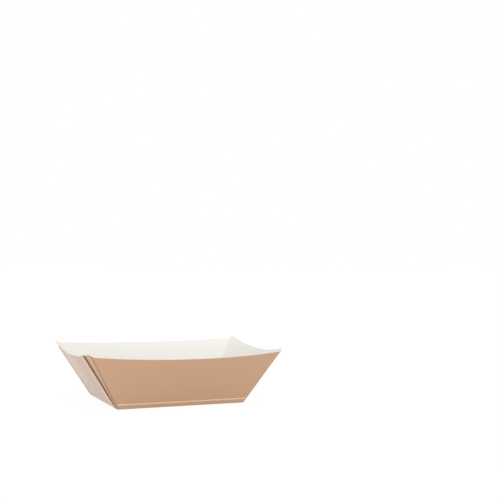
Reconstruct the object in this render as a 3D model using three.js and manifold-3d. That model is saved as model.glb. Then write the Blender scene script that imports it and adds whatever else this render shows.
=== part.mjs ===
// Paper food tray: one die-cut sheet of coated board, folded up and glued at its two ends.
// Millimetres. +X runs along the tray, +Y across it and +Z up.
// The origin is the middle of the base, on its underside.
//
// The blank has a base, two long side walls, a tapering glue flap at each end of each side wall,
// and two end panels. The flaps fold in along the corner creases, the end panels fold up outside
// them and are glued to them. The whole tray is the same when it is turned half round.

import * as THREE from "three";
import Module from "manifold-3d";

// Board
const boardThickness = 0.45;
const boardColour = 0xc5a183;
const boardRoughness = 0.55;
const boardMetalness = 0;

// Outer faces, measured between the creases at the base and between the corners at the mouth
const baseLength = 110;
const baseWidth = 74.6;
const mouthLength = 163.4;
const mouthWidth = 104.2;
const cornerHeight = 44;

// The rim of a side wall bows out of the wall's flat plane, most at mid-length
const sideBow = 9;
const sideBowPower = 2.1;

// The rim of an end bulges out of the end's flat plane and dips down its slope, most in the middle
const endBulge = 3.8;
const endDip = 2.8;
const endBulgePower = 1.8;

// A fold is a soft curve that starts this far from its crease line. A corner fold opens upwards.
const baseFoldSetback = 0.9;
const cornerFoldSetback = 1.8;
const cornerFoldOpening = 1.2;

// End panel: sides that spread a little, rounded top corners, side edges that lift off the flaps
const panelFootInset = 2.9;
const panelSpread = 3.9;
const panelTopCornerRadius = 3;
const panelEdgeLift = 0.7;
const panelLiftWidth = 6;
const glueSink = 0.1;

// Glue flap: it starts narrow at the base, widens past a kink and ends past mid-width
const flapFootWidth = 2.6;
const flapKinkWidth = 11;
const flapKinkUp = 0.34;
const flapReach = 25;
const flapTopRise = 1.9;
const flapTipDrop = 4;
const flapTipRound = 6;

// Where the flaps overlap, the upper one counts both boards and sinks a little into the lower one
const flapStepWidth = 4;
const flapSink = 0.05;

// Each folded-up sheet starts as a thinned tongue let into the edge of the base
const tongueLength = 0.5;
const tongueThinning = 0.1;

// How finely the curved surfaces are divided
const foldSteps = 3;
const cornerSteps = 4;
const wallSteps = 16;
const flapSteps = 9;
const panelSteps = 16;
const risingSteps = 6;

const sideRun = (mouthWidth - baseWidth) / 2;
const sideSlant = Math.hypot(sideRun, cornerHeight);
const endRun = (mouthLength - baseLength) / 2;
const endSlant = Math.hypot(endRun, cornerHeight);
const foldTopUp = baseFoldSetback / cornerHeight;

const { lerp, smoothstep } = THREE.MathUtils;

// Sizes at a height, with up running from 0 at the base to 1 at the rim's corners
const lengthAt = (up) => lerp(baseLength, mouthLength, up);
const halfWidthAt = (up) => lerp(baseWidth, mouthWidth, up) / 2;
const cornerSetbackAt = (up) => cornerFoldSetback + cornerFoldOpening * up;
const wallShareAt = (up) => 1 - (2 * cornerSetbackAt(up)) / lengthAt(up);

// A point on the near side wall, with along running from -1 to 1 between the corner creases
function sidePoint(along, up) {
  const bow = sideBow * up * (1 - Math.abs(along) ** sideBowPower);
  return new THREE.Vector3(
    (along * lengthAt(up)) / 2,
    -halfWidthAt(up) - (bow * cornerHeight) / sideSlant,
    cornerHeight * up - (bow * sideRun) / sideSlant,
  );
}

// A point on the face where flaps and end panel are glued, at the end named by its sign
function endPoint(end, y, up) {
  const share = up * (1 - Math.abs(y / halfWidthAt(up)) ** endBulgePower);
  const out = (share * (endBulge * cornerHeight - endDip * endRun)) / endSlant;
  const down = (share * (endBulge * endRun + endDip * cornerHeight)) / endSlant;
  return new THREE.Vector3(end * (lengthAt(up) / 2 + out), y, cornerHeight * up - down);
}

// A curve from start to finish that leaves and arrives towards the turning point
function softBend(start, turn, finish, t) {
  return new THREE.QuadraticBezierCurve3(start, turn, finish).getPoint(t);
}

// Where a near flap's free edge crosses the end, from its foot past the kink to its rounded tip
function flapEdgeY(up) {
  const foot = flapFootWidth - baseWidth / 2;
  const kink = flapKinkWidth - baseWidth / 2;
  if (up < flapKinkUp) {
    return lerp(foot, kink, up / flapKinkUp);
  }
  const straight = lerp(kink, flapReach, (up - flapKinkUp) / (1 - flapKinkUp));
  const intoTip = Math.max(0, 1 - ((1 - up) * endSlant) / flapTipRound);
  return straight - flapTipRound * intoTip ** 2;
}

// How far up a flap's row stands: its top edge starts above the rim and slopes down to the tip
const flapUp = (up, share) => {
  return up * (1 + lerp(flapTopRise, -flapTipDrop, share ** 1.5) / endSlant);
};

// A point on a near flap, with share running from 0 at the corner fold to 1 at the free edge
function flapPoint(end, share, up) {
  const height = flapUp(up, share);
  const y = lerp(cornerSetbackAt(up) - halfWidthAt(height), flapEdgeY(up), share);
  return endPoint(end, y, height);
}

// A point on the soft fold between the near side wall and a near flap
function cornerPoint(end, t, up) {
  const flapSide = flapPoint(end, 0, up);
  const turn = sidePoint(end, lerp(up, flapUp(up, 0), t));
  return softBend(sidePoint(end * wallShareAt(up), up), turn, flapSide, t);
}

// The columns of the near side sheet from its left flap, round both corners, to its right flap.
// Each gives its point at a height, the way in from its foot, and its share of the flap.
function sideColumns() {
  const columns = [];
  const addFlap = (end, share) => columns.push({
    at: (up) => flapPoint(end, share, up),
    inward: new THREE.Vector3(-end, 0, 0),
    end,
    share,
  });
  const addCorner = (end, t) => columns.push({
    at: (up) => cornerPoint(end, t, up),
    inward: new THREE.Vector3(-end * t, 1 - t, 0),
    end,
    share: 0,
  });
  const addWall = (place) => columns.push({
    at: (up) => sidePoint(place * wallShareAt(up), up),
    inward: new THREE.Vector3(0, 1, 0),
    end: 0,
    share: 0,
  });
  for (let i = flapSteps; i >= 0; i--) addFlap(-1, i / flapSteps);
  for (let i = cornerSteps - 1; i >= 1; i--) addCorner(-1, i / cornerSteps);
  for (let i = 0; i <= wallSteps; i++) addWall((2 * i) / wallSteps - 1);
  for (let i = 1; i < cornerSteps; i++) addCorner(1, i / cornerSteps);
  for (let i = 0; i <= flapSteps; i++) addFlap(1, i / flapSteps);
  return columns;
}

// The heights of the rows above the base fold, with one at the flaps' kink
function risingUps() {
  const kinkStep = Math.round(risingSteps * flapKinkUp);
  const ups = [];
  for (let i = 1; i <= risingSteps; i++) {
    const up = i <= kinkStep
      ? lerp(foldTopUp, flapKinkUp, i / kinkStep)
      : lerp(flapKinkUp, 1, (i - kinkStep) / (risingSteps - kinkStep));
    ups.push(up);
  }
  return ups;
}

// The foot of a sheet: a tongue inside the base, the base's edge, and the fold up to its wall
function footRows(feet, tops, inwards, foldSetback) {
  const rows = [];
  const starts = feet.map((foot, j) => foot.clone().addScaledVector(inwards[j], foldSetback));
  const rise = new THREE.Vector3(0, 0, tongueThinning);
  rows.push(starts.map((p, j) => p.clone().addScaledVector(inwards[j], tongueLength).add(rise)));
  for (let i = 0; i <= foldSteps; i++) {
    rows.push(feet.map((foot, j) => softBend(starts[j], foot, tops[j], i / foldSteps)));
  }
  return rows;
}

// How far the upper flap at an end has stepped over the lower one at a point, from 0 to 1
function flapOverlap(column, point, up) {
  if (column.end !== 1 || column.share === 0) {
    return 0;
  }
  const height = flapUp(up, column.share);
  const lowerUp = Math.min(1, height / flapUp(1, 1));
  const lowerEdge = -flapEdgeY(lowerUp);
  return smoothstep(point.y, lowerEdge - flapStepWidth, lowerEdge);
}

// The near side wall with its two corner folds and flaps, as rows of outer points and depths
function sideSheet() {
  const columns = sideColumns();
  const feet = columns.map((column) => column.at(0));
  const tops = columns.map((column) => column.at(foldTopUp));
  const inwards = columns.map((column) => column.inward);
  const points = footRows(feet, tops, inwards, baseFoldSetback);
  const depths = points.map((row) => row.map(() => boardThickness));
  depths[0].fill(boardThickness - 2 * tongueThinning);
  for (const up of risingUps()) {
    const row = columns.map((column) => column.at(up));
    const overlaps = row.map((point, j) => flapOverlap(columns[j], point, up));
    row.forEach((point, j) => {
      point.x -= flapSink * overlaps[j];
    });
    points.push(row);
    depths.push(overlaps.map((overlap) => boardThickness * (1 + overlap)));
  }
  return { points, depths };
}

// How high the end panel's top edge stands across its width, with its corners rounded
function panelTopUp(place) {
  const panelHalf = baseWidth / 2 - panelFootInset + panelSpread;
  const past = Math.max(0, Math.abs(place) * panelHalf - (panelHalf - panelTopCornerRadius));
  const left = Math.max(0, panelTopCornerRadius ** 2 - past ** 2);
  const drop = panelTopCornerRadius - Math.sqrt(left);
  return 1 - drop / endSlant;
}

// A point on the outer face of the right end panel, with place from -1 to 1 between its sides
function panelPoint(place, up) {
  const panelHalf = baseWidth / 2 - panelFootInset + panelSpread * up;
  const y = place * panelHalf;
  const nearEdge = smoothstep(Math.abs(y), panelHalf - panelLiftWidth, panelHalf);
  const stand = boardThickness - glueSink + panelEdgeLift * nearEdge * Math.sqrt(up);
  const point = endPoint(1, y, up);
  point.x += (stand * endSlant) / cornerHeight;
  return point;
}

// The right end panel, folded up from the base outside the flaps
function panelSheet() {
  const places = [];
  for (let j = 0; j <= panelSteps; j++) {
    places.push(Math.sin((j / panelSteps - 0.5) * Math.PI));
  }
  const feet = places.map((place) => panelPoint(place, 0));
  const tops = places.map((place) => panelPoint(place, foldTopUp));
  const inwards = places.map(() => new THREE.Vector3(-1, 0, 0));
  const foldSetback = feet[0].x - (baseLength / 2 - cornerFoldSetback);
  const points = footRows(feet, tops, inwards, foldSetback);
  for (let i = 1; i <= risingSteps; i++) {
    const share = i / risingSteps;
    points.push(places.map((place) => {
      return panelPoint(place, lerp(foldTopUp, panelTopUp(place), share));
    }));
  }
  const depths = points.map((row) => row.map(() => boardThickness));
  depths[0].fill(boardThickness - 2 * tongueThinning);
  return { points, depths };
}

// The outward direction at a grid point, square to the rows and columns that pass through it.
// Points on the ground belong to the flat base, so they face straight down.
function outwardAt(points, i, j) {
  if (Math.abs(points[i][j].z) < 1e-6) {
    return new THREE.Vector3(0, 0, -1);
  }
  const rowEnd = points.length - 1;
  const columnEnd = points[0].length - 1;
  const across = points[i][Math.min(j + 1, columnEnd)].clone().sub(points[i][Math.max(j - 1, 0)]);
  const upward = points[Math.min(i + 1, rowEnd)][j].clone().sub(points[Math.max(i - 1, 0)][j]);
  return across.cross(upward).normalize();
}

// A closed board from the grid of its outer face: the inner face, and a cut edge all round
function boardMesh({ points, depths }) {
  const rows = points.length;
  const columns = points[0].length;
  const inner = points.map((row, i) => row.map((point, j) => {
    return point.clone().addScaledVector(outwardAt(points, i, j), -depths[i][j]);
  }));
  const positions = [points, inner].flat(2).flatMap((point) => point.toArray());
  const outerIndex = (i, j) => i * columns + j;
  const toInner = rows * columns;
  const faces = [];
  for (let i = 0; i + 1 < rows; i++) {
    for (let j = 0; j + 1 < columns; j++) {
      const [a, b] = [outerIndex(i, j), outerIndex(i, j + 1)];
      const [c, d] = [outerIndex(i + 1, j + 1), outerIndex(i + 1, j)];
      faces.push(a, b, c, a, c, d);
      faces.push(a + toInner, c + toInner, b + toInner, a + toInner, d + toInner, c + toInner);
    }
  }
  const addEdge = (p, q) => faces.push(q, p, p + toInner, q, p + toInner, q + toInner);
  for (let j = 0; j + 1 < columns; j++) {
    addEdge(outerIndex(0, j), outerIndex(0, j + 1));
    addEdge(outerIndex(rows - 1, j + 1), outerIndex(rows - 1, j));
  }
  for (let i = 0; i + 1 < rows; i++) {
    addEdge(outerIndex(i, columns - 1), outerIndex(i + 1, columns - 1));
    addEdge(outerIndex(i + 1, 0), outerIndex(i, 0));
  }
  return { positions, faces };
}

// The same sheet turned half round the tray's middle
function turnedHalf({ points, depths }) {
  const turned = points.map((row) => row.map((point) => new THREE.Vector3(-point.x, -point.y, point.z)));
  return { points: turned, depths };
}

// The flat base between the folds
function baseSheet() {
  const x = baseLength / 2 - cornerFoldSetback;
  const y = baseWidth / 2 - baseFoldSetback;
  const points = [
    [new THREE.Vector3(-x, y, 0), new THREE.Vector3(x, y, 0)],
    [new THREE.Vector3(-x, -y, 0), new THREE.Vector3(x, -y, 0)],
  ];
  const depths = points.map((row) => row.map(() => boardThickness));
  return { points, depths };
}

const wasm = await Module();
wasm.setup();

function toSolid(sheet) {
  const { positions, faces } = boardMesh(sheet);
  return new wasm.Manifold(new wasm.Mesh({
    numProp: 3,
    vertProperties: new Float32Array(positions),
    triVerts: new Uint32Array(faces),
  }));
}

function toGeometry(solid) {
  const mesh = solid.getMesh();
  const geometry = new THREE.BufferGeometry();
  geometry.setAttribute("position", new THREE.BufferAttribute(mesh.vertProperties, 3));
  geometry.setIndex(new THREE.BufferAttribute(mesh.triVerts, 1));
  geometry.computeVertexNormals();
  return geometry;
}

function makeTray() {
  const side = sideSheet();
  const panel = panelSheet();
  const sheets = [side, turnedHalf(side), panel, turnedHalf(panel)];
  const solid = sheets.reduce((whole, sheet) => whole.add(toSolid(sheet)), toSolid(baseSheet()));
  const board = new THREE.MeshStandardMaterial({
    color: boardColour,
    roughness: boardRoughness,
    metalness: boardMetalness,
  });
  const tray = new THREE.Mesh(toGeometry(solid), board);
  tray.name = "tray";
  return tray;
}

const model = new THREE.Group();
model.add(makeTray());

export default model;
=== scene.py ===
"""The look of a folded paper food tray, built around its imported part.

The board is one sheet of coated paperboard: printed kraft brown outside, white inside, with a
pale cut edge. Each panel of the folded sheet is a surface over a grid of two parameters, given
a board's thickness. Lengths are metres. +X runs along the tray, +Y across it and +Z up.
"""

import logging
import math
from dataclasses import dataclass, field
from enum import Enum
from typing import Callable

import bpy
import numpy as np
from mathutils import Matrix, Vector


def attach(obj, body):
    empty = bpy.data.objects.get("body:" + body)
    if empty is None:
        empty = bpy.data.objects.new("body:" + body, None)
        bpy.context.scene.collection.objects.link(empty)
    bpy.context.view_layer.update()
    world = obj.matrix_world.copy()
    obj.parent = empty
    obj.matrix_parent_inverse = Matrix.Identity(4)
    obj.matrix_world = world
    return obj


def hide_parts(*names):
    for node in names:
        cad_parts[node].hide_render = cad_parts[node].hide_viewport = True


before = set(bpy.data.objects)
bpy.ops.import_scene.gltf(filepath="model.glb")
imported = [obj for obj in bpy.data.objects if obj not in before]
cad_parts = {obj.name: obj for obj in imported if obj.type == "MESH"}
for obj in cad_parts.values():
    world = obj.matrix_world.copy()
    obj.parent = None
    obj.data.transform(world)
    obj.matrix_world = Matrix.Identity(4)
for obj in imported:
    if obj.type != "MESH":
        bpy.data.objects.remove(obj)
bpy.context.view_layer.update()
CAD_NODE = "tray"
BODY = "root"
MM = 0.001
GROUND_TOLERANCE = 1e-9
FAR_FROM_CREASES = 1.0
WHITE = (1.0, 1.0, 1.0, 1.0)
DISPLAY_MAX = 255
SRGB_KNEE, SRGB_SLOPE = 0.04045, 12.92
SRGB_OFFSET, SRGB_POWER = 0.055, 2.4
QUARTER_TURN = 90.0

Numbers = np.ndarray | float

log = logging.getLogger("paper_food_tray")


class Surface(Enum):
    """The three surfaces of the board, in the order of a piece's material slots."""

    PRINTED = 0
    COATED = 1
    CUT = 2


class Half(Enum):
    """Which half of the tray a sheet belongs to. The second is the first turned half round."""

    FIRST = 1.0
    TURNED = -1.0


def smoothstep(value: np.ndarray, low: Numbers, high: Numbers) -> np.ndarray:
    """Rises smoothly from 0 at low to 1 at high, as 3t² - 2t³.

    Args:
        value: Where the step is read.
        low: Start of the step.
        high: End of the step.

    Returns:
        The step's height for each value.
    """
    t = np.clip((value - low) / (high - low), 0.0, 1.0)
    return t * t * (3.0 - 2.0 * t)


def mix(start: Numbers, finish: Numbers, t: Numbers) -> Numbers:
    """Goes in a straight line from start at t = 0 to finish at t = 1.

    Args:
        start: Value at t = 0.
        finish: Value at t = 1.
        t: Share of the way.

    Returns:
        start + (finish - start) times t.
    """
    return start + (finish - start) * t


def soft_bend(start: np.ndarray, turn: np.ndarray, finish: np.ndarray,
              t: np.ndarray) -> np.ndarray:
    """A fold's curve: (1-t)² start + 2t(1-t) turn + t² finish.

    Args:
        start: Points where the fold leaves its flat side.
        turn: Points on the sharp crease that the curve rounds off.
        finish: Points where the fold reaches its other side.
        t: Share of the way round, with the points' shape or one that spreads to it.

    Returns:
        Points on the curve.
    """
    return (1 - t) ** 2 * start + 2 * t * (1 - t) * turn + t**2 * finish


def points_of(x: np.ndarray, y: np.ndarray, z: np.ndarray) -> np.ndarray:
    """Stacks three coordinate arrays of any matching shapes into an array of points."""
    return np.stack(np.broadcast_arrays(x, y, z), axis=-1).astype(float)


@dataclass(frozen=True)
class TrayForm:
    """The faces of the folded tray, as functions of a height share that is 1 at the corners."""

    base_length: float = 110.0 * MM
    base_width: float = 74.6 * MM
    mouth_length: float = 163.4 * MM
    mouth_width: float = 104.2 * MM
    corner_height: float = 44.0 * MM
    side_bow: float = 9.0 * MM
    side_bow_power: float = 2.1
    end_bulge: float = 3.8 * MM
    end_dip: float = 2.8 * MM
    end_bulge_power: float = 1.8
    base_fold_setback: float = 0.9 * MM
    corner_fold_setback: float = 1.8 * MM
    corner_fold_opening: float = 1.2 * MM
    board: float = 0.45 * MM
    tongue_length: float = 0.5 * MM
    tongue_thinning: float = 0.1 * MM

    @property
    def side_run(self) -> float:
        """How far a side wall leans out over its height."""
        return (self.mouth_width - self.base_width) / 2

    @property
    def side_slant(self) -> float:
        """Height of a side wall measured along its slope."""
        return math.hypot(self.side_run, self.corner_height)

    @property
    def end_run(self) -> float:
        """How far an end leans out over its height."""
        return (self.mouth_length - self.base_length) / 2

    @property
    def end_slant(self) -> float:
        """Height of an end measured along its slope."""
        return math.hypot(self.end_run, self.corner_height)

    @property
    def fold_top(self) -> float:
        """Height share at which the base fold ends."""
        return self.base_fold_setback / self.corner_height

    def length_at(self, up: np.ndarray) -> np.ndarray:
        """Length between the corner creases at a height share."""
        return mix(self.base_length, self.mouth_length, up)

    def half_width_at(self, up: np.ndarray) -> np.ndarray:
        """Half the width between the corner creases at a height share."""
        return mix(self.base_width, self.mouth_width, up) / 2

    def corner_setback_at(self, up: np.ndarray) -> np.ndarray:
        """How far a corner fold reaches from its crease at a height share."""
        return self.corner_fold_setback + self.corner_fold_opening * up

    def side_point(self, along: np.ndarray, up: np.ndarray) -> np.ndarray:
        """Points on the near side wall.

        The flat wall leans outwards. Its bow is side_bow times up times (1 - |along|^power),
        square to the flat wall, so the rim is an arc and the foot is straight.

        Args:
            along: Place from -1 to 1 between the corner creases.
            up: Height share.

        Returns:
            Points on the outer face.
        """
        bow = self.side_bow * up * (1 - np.abs(along) ** self.side_bow_power)
        x = along * self.length_at(up) / 2
        y = -self.half_width_at(up) - bow * self.corner_height / self.side_slant
        z = self.corner_height * up - bow * self.side_run / self.side_slant
        return points_of(x, y, z)

    def end_point(self, end: float, y: np.ndarray, up: np.ndarray) -> np.ndarray:
        """Points on the face of an end where flaps and end panel are glued.

        A share up times (1 - |y / half width|^power) of the bulge moves a point square to the
        flat end, and the same share of the dip moves it down the slope.

        Args:
            end: -1 for the left end, 1 for the right end.
            y: Place across the tray.
            up: Height share.

        Returns:
            Points on the face.
        """
        inside = np.clip(np.abs(y / self.half_width_at(up)), 0, 1)
        share = up * (1 - inside**self.end_bulge_power)
        out = share * (self.end_bulge * self.corner_height - self.end_dip * self.end_run)
        down = share * (self.end_bulge * self.end_run + self.end_dip * self.corner_height)
        x = end * (self.length_at(up) / 2 + out / self.end_slant)
        return points_of(x, y, self.corner_height * up - down / self.end_slant)


FORM = TrayForm()


@dataclass
class Sheet:
    """A grid of outer points with a depth, a distance from the creases and a wall share each."""

    points: np.ndarray
    depths: np.ndarray
    from_crease: np.ndarray
    on_wall: np.ndarray

    @classmethod
    def plain(cls, points: np.ndarray, depths: np.ndarray) -> "Sheet":
        """A sheet with no corner crease near it and no part of a long wall."""
        far = np.full(points.shape[:2], FAR_FROM_CREASES)
        return cls(points, depths, far, np.zeros_like(far))

    def turned(self, half: Half) -> "Sheet":
        """The same sheet, or the same turned half round the tray's middle."""
        turn = np.array([half.value, half.value, 1.0])
        return Sheet(self.points * turn, self.depths, self.from_crease, self.on_wall)

    def outward(self) -> np.ndarray:
        """Outward directions: along the row crossed with up the column, made one unit long.

        Points on the ground belong to the flat base, so they face straight down.

        Returns:
            One direction for each point.
        """
        across = np.gradient(self.points, axis=1)
        upward = np.gradient(self.points, axis=0)
        square = np.cross(across, upward)
        square /= np.linalg.norm(square, axis=-1, keepdims=True)
        on_ground = np.abs(self.points[..., 2]) < GROUND_TOLERANCE
        square[on_ground] = (0.0, 0.0, -1.0)
        return square

    def shell(self) -> tuple[np.ndarray, np.ndarray, np.ndarray]:
        """A closed board: the outer grid, the inner grid behind it, and a cut edge all round.

        Returns:
            Corner points, four-sided faces, and the surface of each face.
        """
        rows, columns = self.points.shape[:2]
        inner = self.points - self.outward() * self.depths[..., None]
        corners = np.concatenate([self.points.reshape(-1, 3), inner.reshape(-1, 3)])
        index = np.arange(rows * columns).reshape(rows, columns)
        to_inner = rows * columns
        quads = np.stack(
            [index[:-1, :-1], index[:-1, 1:], index[1:, 1:], index[1:, :-1]], axis=-1
        ).reshape(-1, 4)
        ring = np.concatenate([
            index[0, :-1], index[:-1, -1], index[-1, :0:-1], index[:0:-1, 0],
        ])
        following = np.roll(ring, -1)
        rim = np.stack([following, ring, ring + to_inner, following + to_inner], axis=-1)
        faces = np.concatenate([quads, quads[:, ::-1] + to_inner, rim])
        counts = [len(quads), len(quads), len(rim)]
        surfaces = np.repeat([s.value for s in Surface], counts)
        return corners, faces, surfaces


@dataclass
class BoardPiece:
    """Puts a sheet into a Blender object, with its surfaces, attributes and finishes."""

    name: str
    sheet: Sheet
    crisp_angle: float = math.radians(38.0)

    def build(self, materials: dict[Surface, bpy.types.Material]) -> bpy.types.Object:
        """Makes the mesh and its object.

        Args:
            materials: The finish of each surface.

        Returns:
            The object, at the origin, standing for the CAD node.
        """
        corners, faces, surfaces = self.sheet.shell()
        mesh = bpy.data.meshes.new(self.name)
        mesh.from_pydata(corners, [], faces)
        for surface in Surface:
            mesh.materials.append(materials[surface])
        mesh.polygons.foreach_set("material_index", surfaces.astype(np.int32))
        mesh.polygons.foreach_set("use_smooth", np.ones(len(faces), dtype=bool))
        self._write(mesh, "from_crease", self.sheet.from_crease)
        self._write(mesh, "on_wall", self.sheet.on_wall)
        mesh.update()
        mesh.set_sharp_from_angle(angle=self.crisp_angle)
        piece = bpy.data.objects.new(self.name, mesh)
        bpy.context.scene.collection.objects.link(piece)
        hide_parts(CAD_NODE)
        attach(piece, BODY)
        log.info("%s: %d points, %d faces", self.name, len(corners), len(faces))
        return piece

    def _write(self, mesh: bpy.types.Mesh, name: str, values: np.ndarray) -> None:
        """Writes one number for each grid point to the outer and the inner corner there."""
        attribute = mesh.attributes.new(name, "FLOAT", "POINT")
        both = np.tile(values.reshape(-1), 2).astype(np.float32)
        attribute.data.foreach_set("value", both)


def foot_rows(feet: np.ndarray, tops: np.ndarray, inwards: np.ndarray, setback: float,
              steps: int) -> np.ndarray:
    """The foot of a sheet: a tongue inside the base, the base's edge, and the fold up.

    The first row lies a tongue's length inside the second. The other rows follow the fold's
    curve from the base's edge, round the foot, to the tops.

    Args:
        feet: Points on the crease at the base.
        tops: Points where the fold ends.
        inwards: Directions from the feet into the base.
        setback: How far inside its crease the fold starts.
        steps: Steps round the fold.

    Returns:
        Rows of points.
    """
    starts = feet + inwards * setback
    rise = np.array([0.0, 0.0, FORM.tongue_thinning])
    tongue = starts + inwards * FORM.tongue_length + rise
    t = np.linspace(0, 1, steps + 1)[:, None, None]
    return np.concatenate([tongue[None], soft_bend(starts, feet, tops, t)])


def tongued_depths(points: np.ndarray) -> np.ndarray:
    """The board's thickness at each point, less in the first row, which is the tongue's end."""
    depths = np.full(points.shape[:2], FORM.board)
    depths[0] -= 2 * FORM.tongue_thinning
    return depths


@dataclass
class SideWalls:
    """The two long walls, each with its corner folds and the glue flaps folded in behind."""

    flap_foot_width: float = 2.6 * MM
    flap_kink_width: float = 11.0 * MM
    flap_kink_up: float = 0.34
    flap_reach: float = 25.0 * MM
    flap_top_rise: float = 2.6 * MM
    flap_tip_drop: float = 4.0 * MM
    flap_slope_power: float = 1.5
    flap_tip_round: float = 6.0 * MM
    flap_step_width: float = 2.2 * MM
    flap_curl: float = 0.9 * MM
    flap_curl_start: float = 0.86
    wall_steps: int = 120
    corner_steps: int = 10
    flap_steps: int = 56
    fold_steps: int = 8
    rising_steps: int = 48
    pieces: list[bpy.types.Object] = field(default_factory=list)

    def flap_edge(self, up: np.ndarray) -> np.ndarray:
        """Where a near flap's free edge crosses the end.

        It goes straight from the foot to the kink and straight on to the reach, and near the
        top it is drawn back by the square of how far it is into the rounded tip.

        Args:
            up: Height share.

        Returns:
            Place across the tray.
        """
        foot = self.flap_foot_width - FORM.base_width / 2
        kink = self.flap_kink_width - FORM.base_width / 2
        lower = mix(foot, kink, up / self.flap_kink_up)
        upper = mix(kink, self.flap_reach, (up - self.flap_kink_up) / (1 - self.flap_kink_up))
        into_tip = np.maximum(0, 1 - (1 - up) * FORM.end_slant / self.flap_tip_round)
        return np.where(up < self.flap_kink_up, lower, upper - self.flap_tip_round * into_tip**2)

    def flap_up(self, up: np.ndarray, share: np.ndarray) -> np.ndarray:
        """Height share of a flap's row, whose top edge rises over the rim and slopes down."""
        lift = mix(self.flap_top_rise, -self.flap_tip_drop, share**self.flap_slope_power)
        return up * (1 + lift / FORM.end_slant)

    def flap_point(self, end: float, share: np.ndarray, up: np.ndarray) -> np.ndarray:
        """Points on a near flap, with share from 0 at the corner fold to 1 at the free edge."""
        height = self.flap_up(up, share)
        start = FORM.corner_setback_at(up) - FORM.half_width_at(height)
        return FORM.end_point(end, mix(start, self.flap_edge(up), share), height)

    def corner_point(self, end: float, t: np.ndarray, up: np.ndarray) -> np.ndarray:
        """Points on the soft fold between the near wall (t = 0) and a near flap (t = 1)."""
        wall = FORM.side_point(end * self.wall_share(up), up)
        flap = self.flap_point(end, np.zeros_like(t), up)
        turn = FORM.side_point(end, mix(up, self.flap_up(up, np.zeros_like(t)), t))
        return soft_bend(wall, turn, flap, t[..., None])

    def wall_share(self, up: np.ndarray) -> np.ndarray:
        """Share of the wall's half length that lies between the corner folds."""
        return 1 - 2 * FORM.corner_setback_at(up) / FORM.length_at(up)

    def columns(self) -> list[tuple[Callable[[np.ndarray], np.ndarray], np.ndarray, float]]:
        """The sheet's parts from the left flap round to the right one.

        Returns:
            For each part, its points at rows of heights, its shares of the flap, and its end.
        """
        flap = np.linspace(0, 1, self.flap_steps + 1)
        corner = np.linspace(0, 1, self.corner_steps + 1)[1:-1]
        wall = np.linspace(-1, 1, self.wall_steps + 1)
        none = np.zeros(len(wall))
        return [
            (lambda up: self.flap_point(-1.0, np.broadcast_to(flap[::-1], up.shape), up),
             flap[::-1], -1.0),
            (lambda up: self.corner_point(-1.0, np.broadcast_to(corner[::-1], up.shape), up),
             0 * corner, -1.0),
            (lambda up: FORM.side_point(wall * self.wall_share(up), up), none, 0.0),
            (lambda up: self.corner_point(1.0, np.broadcast_to(corner, up.shape), up),
             0 * corner, 1.0),
            (lambda up: self.flap_point(1.0, np.broadcast_to(flap, up.shape), up), flap, 1.0),
        ]

    def inwards(self) -> np.ndarray:
        """Directions into the base, turning from -X or +X round each corner fold to +Y."""
        corner = np.linspace(0, 1, self.corner_steps + 1)[1:-1]
        turn = np.concatenate([
            -np.ones(self.flap_steps + 1), -corner[::-1], np.zeros(self.wall_steps + 1),
            corner, np.ones(self.flap_steps + 1),
        ])
        return points_of(-turn, 1 - np.abs(turn), np.zeros_like(turn))

    def rows_at(self, ups: np.ndarray) -> np.ndarray:
        """Whole rows of the sheet at the given height shares."""
        parts = []
        for points, shares, _ in self.columns():
            grid = np.broadcast_to(ups[:, None], (len(ups), len(shares)))
            parts.append(points(grid))
        return np.concatenate(parts, axis=1)

    def overlap(self, points: np.ndarray, ups: np.ndarray) -> np.ndarray:
        """How far the upper flap at the right end has stepped over the lower one.

        The step is smooth over flap_step_width before the lower flap's free edge.

        Args:
            points: Rows of the sheet above the base fold.
            ups: Height share of each row.

        Returns:
            0 to 1 for each point, and 0 off the right flap.
        """
        share = self.flap_shares()
        height = self.flap_up(ups[:, None], share[None])
        top = self.flap_up(np.array(1.0), np.array(1.0))
        lower_edge = -self.flap_edge(np.minimum(1, height / top))
        step = smoothstep(points[..., 1], lower_edge - self.flap_step_width, lower_edge)
        return step * (share > 0)

    def flap_shares(self) -> np.ndarray:
        """Each column's share of the right flap, and 0 off it."""
        return np.concatenate([shares * (end > 0) for _, shares, end in self.columns()])

    def stand(self, ups: np.ndarray) -> np.ndarray:
        """How far the upper flap stands in from the end's face where it lies on the lower one.

        It is a board, and near the free edge a curl that grows with the height share.

        Args:
            ups: Height share of each row.

        Returns:
            A distance for each point.
        """
        curl = smoothstep(self.flap_shares(), self.flap_curl_start, 1.0)
        return FORM.board + self.flap_curl * curl[None] * ups[:, None]

    def sheet(self) -> Sheet:
        """The near wall with its corner folds and flaps."""
        ups = np.linspace(FORM.fold_top, 1, self.rising_steps + 1)[1:]
        feet, tops = self.rows_at(np.array([0.0, FORM.fold_top]))
        foot = foot_rows(feet, tops, self.inwards(), FORM.base_fold_setback, self.fold_steps)
        rising = self.rows_at(ups)
        overlap = self.overlap(rising, ups)
        rising[..., 0] -= overlap * self.stand(ups) * FORM.end_slant / FORM.corner_height
        points = np.concatenate([foot, rising])
        from_crease, on_wall = self.crease_distance(points), self.wall_mask(points)
        return Sheet(points, tongued_depths(points), from_crease, on_wall)

    def crease_distance(self, points: np.ndarray) -> np.ndarray:
        """Distance along each row from the middle of the nearer corner fold.

        It is the running length of the row, less its value at the fold's middle column.

        Args:
            points: The whole sheet's points.

        Returns:
            A distance for each point.
        """
        steps = np.linalg.norm(np.diff(points, axis=1), axis=-1)
        run = np.pad(np.cumsum(steps, axis=1), ((0, 0), (1, 0)))
        left = self.flap_steps + self.corner_steps // 2
        right = points.shape[1] - 1 - left
        return np.minimum(np.abs(run - run[:, [left]]), np.abs(run - run[:, [right]]))

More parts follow.
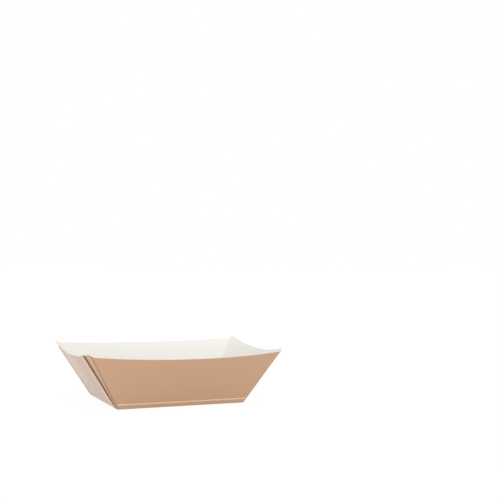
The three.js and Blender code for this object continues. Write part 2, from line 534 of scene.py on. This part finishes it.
    def wall_mask(self, points: np.ndarray) -> np.ndarray:
        """1 on the long wall between its corner folds, and 0 on the folds and flaps."""
        mask = np.zeros(points.shape[:2])
        start = self.flap_steps + self.corner_steps
        mask[:, start:start + self.wall_steps + 1] = 1.0
        return mask

    def build(self, materials: dict[Surface, bpy.types.Material]) -> None:
        """Builds and dresses both walls."""
        for half in Half:
            piece = BoardPiece(f"side_wall_{half.name.lower()}", self.sheet().turned(half))
            self.pieces.append(piece.build(materials))


@dataclass
class EndPanels:
    """The two end panels, folded up outside the flaps, with side edges that stand off them."""

    foot_inset: float = 2.9 * MM
    spread: float = 5.4 * MM
    top_rise: float = 1.1 * MM
    top_corner_radius: float = 3.0 * MM
    edge_lift: float = 1.0 * MM
    lift_power: float = 0.25
    lift_width: float = 13.0 * MM
    glue_sink: float = 0.1 * MM
    across_steps: int = 72
    fold_steps: int = 8
    rising_steps: int = 48
    pieces: list[bpy.types.Object] = field(default_factory=list)

    def half_at(self, up: np.ndarray) -> np.ndarray:
        """Half the panel's width at a height share."""
        return FORM.base_width / 2 - self.foot_inset + self.spread * up

    def point(self, place: np.ndarray, up: np.ndarray) -> np.ndarray:
        """Points on the outer face of the right end panel.

        The panel lies a board outside the flaps' face, less the glue's sink. Its side edges lift
        off by edge_lift times up^lift_power, smoothly over lift_width.

        Args:
            place: -1 to 1 between the panel's sides.
            up: Height share.

        Returns:
            Points on the outer face.
        """
        half = self.half_at(up)
        y = place * half
        near_edge = smoothstep(np.abs(y), half - self.lift_width, half)
        lift = self.edge_lift * up**self.lift_power
        stand = FORM.board - self.glue_sink + lift * near_edge
        point = FORM.end_point(1.0, y, up)
        point[..., 0] += stand * FORM.end_slant / FORM.corner_height
        return point

    def top_up(self, place: np.ndarray) -> np.ndarray:
        """Height share of the panel's top edge, lower where its corners are rounded."""
        half = self.half_at(np.array(1.0))
        radius = self.top_corner_radius
        past = np.clip(np.abs(place) * half - (half - radius), 0, radius)
        drop = radius - np.sqrt(radius**2 - past**2)
        return 1 + (self.top_rise - drop) / FORM.end_slant

    def sheet(self) -> Sheet:
        """The right end panel with its base fold."""
        place = np.sin(np.linspace(-0.5, 0.5, self.across_steps + 1) * math.pi)
        feet = self.point(place, np.zeros_like(place))
        tops = self.point(place, np.full_like(place, FORM.fold_top))
        inwards = np.broadcast_to([-1.0, 0.0, 0.0], feet.shape)
        setback = feet[0, 0] - (FORM.base_length / 2 - FORM.corner_fold_setback)
        foot = foot_rows(feet, tops, inwards, setback, self.fold_steps)
        t = np.linspace(0, 1, self.rising_steps + 1)[1:, None]
        ups = mix(FORM.fold_top, self.top_up(place)[None], t)
        points = np.concatenate([foot, self.point(np.broadcast_to(place, ups.shape), ups)])
        return Sheet.plain(points, tongued_depths(points))

    def build(self, materials: dict[Surface, bpy.types.Material]) -> None:
        """Builds and dresses both panels."""
        for half in Half:
            piece = BoardPiece(f"end_panel_{half.name.lower()}", self.sheet().turned(half))
            self.pieces.append(piece.build(materials))


@dataclass
class BasePanel:
    """The flat base between the folds."""

    steps: int = 12
    pieces: list[bpy.types.Object] = field(default_factory=list)

    def sheet(self) -> Sheet:
        """A flat grid over the base that ends where the folds start."""
        x = FORM.base_length / 2 - FORM.corner_fold_setback
        y = FORM.base_width / 2 - FORM.base_fold_setback
        across, up = np.meshgrid(
            np.linspace(-x, x, self.steps + 1), np.linspace(y, -y, self.steps + 1)
        )
        points = points_of(across, up, 0 * up)
        return Sheet.plain(points, np.full(points.shape[:2], FORM.board))

    def build(self, materials: dict[Surface, bpy.types.Material]) -> None:
        """Builds and dresses the base."""
        self.pieces.append(BoardPiece("base_panel", self.sheet()).build(materials))


class NodeSheet:
    """A short way to add and join the nodes of one material."""

    def __init__(self, name: str) -> None:
        """Starts an empty material with its output."""
        self.material = bpy.data.materials.new(name)
        self.material.use_nodes = True
        self.tree = self.material.node_tree
        self.tree.nodes.clear()
        self.output = self.tree.nodes.new("ShaderNodeOutputMaterial")

    def add(self, kind: str, **settings: object) -> bpy.types.Node:
        """Adds a node and sets its properties.

        Args:
            kind: Node type without its ShaderNode prefix.
            settings: Properties of the node by name.

        Returns:
            The node.
        """
        node = self.tree.nodes.new("ShaderNode" + kind)
        for key, value in settings.items():
            setattr(node, key, value)
        return node

    def join(self, source: bpy.types.NodeSocket, target: bpy.types.NodeSocket) -> None:
        """Links one socket to another."""
        self.tree.links.new(source, target)

    def calculate(self, operation: str, first: object,
                  second: object = 0.0) -> bpy.types.NodeSocket:
        """A Math node on two sockets or numbers.

        Args:
            operation: Name of the operation.
            first: Socket or number.
            second: Socket or number.

        Returns:
            The result's socket.
        """
        node = self.add("Math", operation=operation)
        for socket, value in zip(node.inputs, (first, second)):
            if isinstance(value, bpy.types.NodeSocket):
                self.join(value, socket)
            else:
                socket.default_value = value
        return node.outputs[0]

    def ramp(self, value: bpy.types.NodeSocket, low: float, high: float) -> bpy.types.NodeSocket:
        """Maps a socket from 0 at low to 1 at high, smoothly and clamped."""
        node = self.add("MapRange", interpolation_type="SMOOTHSTEP")
        self.join(value, node.inputs["Value"])
        node.inputs["From Min"].default_value = low
        node.inputs["From Max"].default_value = high
        return node.outputs["Result"]

    def blend(self, factor: bpy.types.NodeSocket, first: object,
              second: object) -> bpy.types.NodeSocket:
        """A colour mix of two sockets or colours.

        Args:
            factor: Socket that goes from 0 to 1.
            first: Socket or colour at factor 0.
            second: Socket or colour at factor 1.

        Returns:
            The colour's socket.
        """
        node = self.add("Mix", data_type="RGBA")
        for name, value in (("Factor_Float", factor), ("A_Color", first), ("B_Color", second)):
            socket = next(s for s in node.inputs if s.identifier == name)
            if isinstance(value, bpy.types.NodeSocket):
                self.join(value, socket)
            else:
                socket.default_value = (*value, 1.0)
        return next(s for s in node.outputs if s.identifier == "Result_Color")

    def noise(self, where: bpy.types.NodeSocket, scale: float) -> bpy.types.NodeSocket:
        """A noise pattern from 0 to 1, with scale as its grains along a metre."""
        node = self.add("TexNoise")
        self.join(where, node.inputs["Vector"])
        node.inputs["Scale"].default_value = scale
        return node.outputs["Fac"]

    def attribute(self, name: str) -> bpy.types.NodeSocket:
        """The value that the mesh keeps under a name."""
        return self.add("Attribute", attribute_name=name).outputs["Fac"]


def linear(red: int, green: int, blue: int) -> tuple[float, float, float]:
    """A linear colour from display values of 0 to 255.

    Args:
        red: Display red.
        green: Display green.
        blue: Display blue.

    Returns:
        The same colour in linear light.
    """
    shares = np.array([red, green, blue]) / DISPLAY_MAX
    straight = shares / SRGB_SLOPE
    curved = ((shares + SRGB_OFFSET) / (1 + SRGB_OFFSET)) ** SRGB_POWER
    return tuple(float(c) for c in np.where(shares <= SRGB_KNEE, straight, curved))


@dataclass(frozen=True)
class PrintedFace:
    """Kraft brown print on the outside, satin, with a pale line low on the long walls and painted
    shade along the corner creases.
    """

    colour: tuple[float, float, float] = linear(200, 160, 127)
    line_colour: tuple[float, float, float] = linear(236, 202, 172)
    # The darker brown below is painted shade for the corner creases, not a colour of the print.
    crease_shade_colour: tuple[float, float, float] = linear(150, 112, 84)
    fibre_colour: tuple[float, float, float] = linear(193, 153, 120)
    line_height: float = 4.0 * MM
    line_half_width: float = 0.45 * MM
    line_softness: float = 0.25 * MM
    crease_shade_half_width: float = 0.55 * MM
    crease_shade_softness: float = 0.5 * MM
    crease_shade_strength: float = 0.65
    fibre_scale: float = 900.0
    fibre_share: float = 0.35
    grain_scale: float = 2600.0
    grain_depth: float = 0.012 * MM
    roughness: float = 0.24

    def make(self) -> bpy.types.Material:
        """Builds the printed finish."""
        sheet = NodeSheet("printed_board")
        where = sheet.add("TexCoord").outputs["Object"]
        height = sheet.add("SeparateXYZ")
        sheet.join(where, height.inputs[0])
        fibres = sheet.noise(where, self.fibre_scale)
        mottled = sheet.calculate("MULTIPLY", fibres, self.fibre_share)
        colour = sheet.blend(mottled, self.colour, self.fibre_colour)
        above_line = sheet.calculate("SUBTRACT", height.outputs["Z"], self.line_height)
        off_line = sheet.calculate("ABSOLUTE", above_line)
        line = sheet.ramp(
            off_line, self.line_half_width + self.line_softness, self.line_half_width
        )
        line = sheet.calculate("MULTIPLY", line, sheet.attribute("on_wall"))
        colour = sheet.blend(line, colour, self.line_colour)
        # Painted shade: the print darkens within about a millimetre of each corner crease,
        # standing in for a scored groove's shading.
        crease = sheet.ramp(
            sheet.attribute("from_crease"),
            self.crease_shade_half_width + self.crease_shade_softness, self.crease_shade_half_width,
        )
        crease = sheet.calculate("MULTIPLY", crease, self.crease_shade_strength)
        colour = sheet.blend(crease, colour, self.crease_shade_colour)
        return finish(sheet, colour, where, self.roughness, self.grain_scale, self.grain_depth)


@dataclass(frozen=True)
class CoatedFace:
    """Smooth white coating inside, a little warm."""

    colour: tuple[float, float, float] = linear(242, 240, 235)
    fibre_colour: tuple[float, float, float] = linear(237, 234, 228)
    fibre_scale: float = 700.0
    fibre_share: float = 0.4
    grain_scale: float = 2200.0
    grain_depth: float = 0.01 * MM
    roughness: float = 0.5

    def make(self) -> bpy.types.Material:
        """Builds the coated finish."""
        sheet = NodeSheet("coated_board")
        where = sheet.add("TexCoord").outputs["Object"]
        fibres = sheet.noise(where, self.fibre_scale)
        mottled = sheet.calculate("MULTIPLY", fibres, self.fibre_share)
        colour = sheet.blend(mottled, self.colour, self.fibre_colour)
        return finish(sheet, colour, where, self.roughness, self.grain_scale, self.grain_depth)


@dataclass(frozen=True)
class CutEdge:
    """The pale, fibrous core that shows where the board is cut."""

    colour: tuple[float, float, float] = linear(240, 224, 206)
    grain_scale: float = 3000.0
    grain_depth: float = 0.03 * MM
    roughness: float = 0.85

    def make(self) -> bpy.types.Material:
        """Builds the cut edge's finish."""
        sheet = NodeSheet("cut_board")
        where = sheet.add("TexCoord").outputs["Object"]
        return finish(
            sheet, self.colour, where, self.roughness, self.grain_scale, self.grain_depth
        )


def finish(sheet: NodeSheet, colour: object, where: bpy.types.NodeSocket, roughness: float,
           grain_scale: float, grain_depth: float) -> bpy.types.Material:
    """Ends a board material with its shader and the faint relief of its grain.

    Args:
        sheet: The material so far.
        colour: Socket or colour of the surface.
        where: Object coordinates.
        roughness: Roughness of the gloss.
        grain_scale: Grains along a metre.
        grain_depth: Height of the grain's relief.

    Returns:
        The finished material.
    """
    shader = sheet.add("BsdfPrincipled")
    shader.inputs["Roughness"].default_value = roughness
    if isinstance(colour, bpy.types.NodeSocket):
        sheet.join(colour, shader.inputs["Base Color"])
    else:
        shader.inputs["Base Color"].default_value = (*colour, 1.0)
    bump = sheet.add("Bump")
    bump.inputs["Distance"].default_value = grain_depth
    sheet.join(sheet.noise(where, grain_scale), bump.inputs["Height"])
    sheet.join(bump.outputs["Normal"], shader.inputs["Normal"])
    sheet.join(shader.outputs["BSDF"], sheet.output.inputs["Surface"])
    return sheet.material


@dataclass(frozen=True)
class SoftLamp:
    """One soft square lamp that points at the tray."""

    name: str
    place: tuple[float, float, float]
    width: float
    power: float

    def make(self, target: Vector) -> None:
        """Adds the lamp.

        Args:
            target: Where the lamp points.
        """
        lamp = bpy.data.lights.new(self.name, "AREA")
        lamp.size = self.width
        lamp.energy = self.power
        holder = bpy.data.objects.new(self.name, lamp)
        holder.location = self.place
        holder.rotation_euler = (target - holder.location).to_track_quat("-Z", "Y").to_euler()
        bpy.context.scene.collection.objects.link(holder)


@dataclass
class Studio:
    """A white floor, an even white surround, soft lamps and the camera."""

    floor_half: float = 3.0
    floor_drop: float = 0.2 * MM
    floor_colour: tuple[float, float, float] = (0.88, 0.88, 0.88)
    floor_share: float = 0.88
    floor_glow: float = 1.06
    surround: float = 0.74
    image_width: float = 500.0
    sensor_width: float = 36.0
    focal_pixels: float = 975.4
    camera_place: tuple[float, float, float] = (-0.29303, -0.77257, 0.14150)
    heading: float = 25.470
    pitch: float = -0.971
    roll: float = 1.407
    lamp_target: tuple[float, float, float] = (0.0, 0.0, 20.0 * MM)
    lamps: tuple[SoftLamp, ...] = (
        SoftLamp("softbox_front", (0.15, -1.54, 0.50), 1.3, 8.6),
        SoftLamp("softbox_left", (-1.50, -0.40, 0.10), 0.4, 5.0),
        SoftLamp("fill_above", (0.1, -0.1, 1.9), 1.6, 3.3),
    )

    def build(self) -> None:
        """Adds floor, surround, lamps and camera."""
        self._floor()
        self._surround()
        for lamp in self.lamps:
            lamp.make(Vector(self.lamp_target))
        self._camera()

    def _floor(self) -> None:
        """A wide floor that looks white to the camera and still takes a faint shadow."""
        half, low = self.floor_half, -self.floor_drop
        mesh = bpy.data.meshes.new("floor")
        corners = [(-half, -half, low), (half, -half, low), (half, half, low), (-half, half, low)]
        mesh.from_pydata(corners, [], [(0, 1, 2, 3)])
        floor = bpy.data.objects.new("floor", mesh)
        bpy.context.scene.collection.objects.link(floor)
        sheet = NodeSheet("white_floor")
        matt = sheet.add("BsdfDiffuse")
        matt.inputs["Color"].default_value = (*self.floor_colour, 1.0)
        glow = sheet.add("Emission")
        glow.inputs["Strength"].default_value = self.floor_glow
        seen = sheet.add("LightPath")
        straight, mirrored = seen.outputs["Is Camera Ray"], seen.outputs["Is Glossy Ray"]
        ray = sheet.calculate("MAXIMUM", straight, mirrored)
        factor = sheet.calculate("MULTIPLY", ray, self.floor_share)
        shader = sheet.add("MixShader")
        sheet.join(factor, shader.inputs[0])
        sheet.join(matt.outputs[0], shader.inputs[1])
        sheet.join(glow.outputs[0], shader.inputs[2])
        sheet.join(shader.outputs[0], sheet.output.inputs["Surface"])
        mesh.materials.append(sheet.material)

    def _surround(self) -> None:
        """A white world that lights at one level and looks plain white to the camera."""
        world = bpy.data.worlds.new("white_surround")
        bpy.context.scene.world = world
        world.use_nodes = True
        tree = world.node_tree
        light = tree.nodes["Background"]
        light.inputs["Color"].default_value = WHITE
        light.inputs["Strength"].default_value = self.surround
        plain = tree.nodes.new("ShaderNodeBackground")
        plain.inputs["Color"].default_value = WHITE
        seen = tree.nodes.new("ShaderNodeLightPath")
        mixer = tree.nodes.new("ShaderNodeMixShader")
        tree.links.new(seen.outputs["Is Camera Ray"], mixer.inputs[0])
        tree.links.new(light.outputs[0], mixer.inputs[1])
        tree.links.new(plain.outputs[0], mixer.inputs[2])
        tree.links.new(mixer.outputs[0], tree.nodes["World Output"].inputs["Surface"])

    def _camera(self) -> None:
        """A camera that stands, looks and leans as the photograph's did.

        Unturned it looks straight down, so it is first raised by a quarter turn.
        """
        lens = bpy.data.cameras.new("camera")
        lens.sensor_width = self.sensor_width
        lens.lens = self.focal_pixels / self.image_width * self.sensor_width
        camera = bpy.data.objects.new("camera", lens)
        bpy.context.scene.collection.objects.link(camera)
        turn = Matrix.Rotation(math.radians(-self.heading), 4, "Z")
        tilt = Matrix.Rotation(math.radians(QUARTER_TURN + self.pitch), 4, "X")
        lean = Matrix.Rotation(math.radians(self.roll), 4, "Z")
        camera.matrix_world = Matrix.Translation(self.camera_place) @ turn @ tilt @ lean
        bpy.context.scene.camera = camera


def main() -> None:
    """Builds the tray's sheets in order, dresses them, and sets up the studio."""
    logging.basicConfig(level=logging.INFO, format="%(message)s")
    bpy.context.scene.view_settings.view_transform = "Standard"
    materials = {
        Surface.PRINTED: PrintedFace().make(),
        Surface.COATED: CoatedFace().make(),
        Surface.CUT: CutEdge().make(),
    }
    for part in (BasePanel(), SideWalls(), EndPanels()):
        part.build(materials)
        log.info("%s: %d pieces", type(part).__name__, len(part.pieces))
    Studio().build()


if __name__ == "__main__":
    main()
